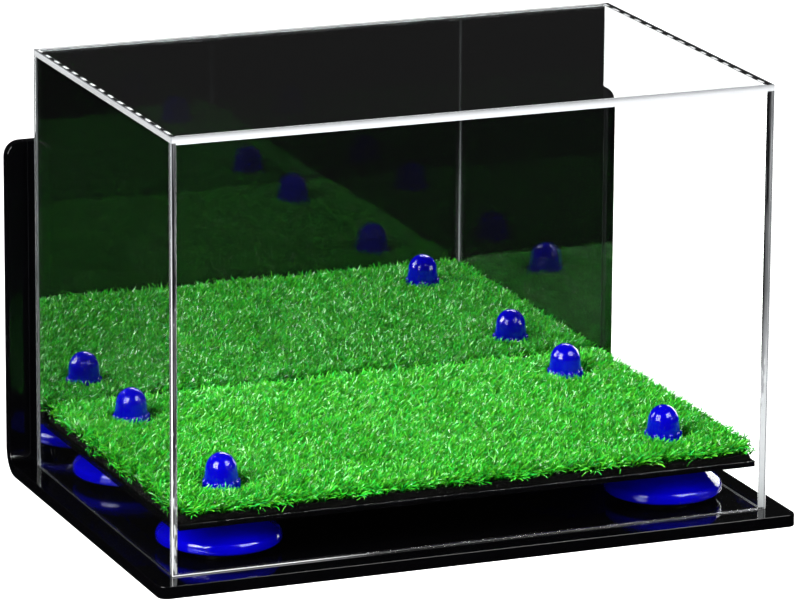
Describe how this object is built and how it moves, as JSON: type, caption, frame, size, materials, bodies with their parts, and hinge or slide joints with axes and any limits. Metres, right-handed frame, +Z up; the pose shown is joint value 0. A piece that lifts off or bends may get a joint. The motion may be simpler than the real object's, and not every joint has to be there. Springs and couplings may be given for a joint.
{
  "type": "football display case",
  "caption": "Clear cover with a mirrored back over a raised turf platform on domed riser discs, standing on a black base sheet bent up into a wall plate.",
  "frame": {"origin": "middle of the footprint, on the surface the base stands on", "axes": "+X along the case to its right end, +Y back towards the wall plate, +Z up"},
  "size_m": [0.3398, 0.2336, 0.2255],
  "materials": {
    "black_acrylic": "polished black cast sheet",
    "clear_acrylic": "polished clear cast sheet",
    "mirrored_acrylic": "mirror seen through clear sheet",
    "blue_plastic": "moulded, high gloss",
    "turf_grass": "synthetic grass fibres",
    "turf_backing": "matt black latex on woven cloth",
    "foot_rubber": "matt black",
    "zinc_steel": "zinc plated"
  },
  "bodies": {
    "base": {"base_wall_mount": "black_acrylic"},
    "cover": {"cover_front_panel": "clear_acrylic", "cover_left_panel": "clear_acrylic", "cover_right_panel": "clear_acrylic", "cover_top_panel": "clear_acrylic", "cover_mirror_panel": "mirrored_acrylic"},
    "turf_stand": {"turf_platform": "black_acrylic", "turf_backing": "turf_backing", "turf_pile": "turf_grass", "riser_foot_front_left": "foot_rubber", "riser_foot_front_right": "foot_rubber", "riser_foot_back_left": "foot_rubber", "riser_foot_back_right": "foot_rubber", "riser_disc_front_left": "blue_plastic", "riser_disc_front_right": "blue_plastic", "riser_disc_back_left": "blue_plastic", "riser_disc_back_right": "blue_plastic", "riser_screw_front_left": "zinc_steel", "riser_screw_front_right": "zinc_steel", "riser_screw_back_left": "zinc_steel", "riser_screw_back_right": "zinc_steel", "dome_nut_front_left": "blue_plastic", "dome_nut_front_right": "blue_plastic", "dome_nut_back_left": "blue_plastic", "dome_nut_back_right": "blue_plastic"}
  },
  "joints": [
    {"name": "cover_lift", "type": "slide", "parent": "base", "child": "cover", "axis": [0, 0, 1], "range_m": [0, 0.25]},
    {"name": "stand_lift", "type": "slide", "parent": "base", "child": "turf_stand", "axis": [0, 0, 1], "range_m": [0, 0.15]}
  ]
}
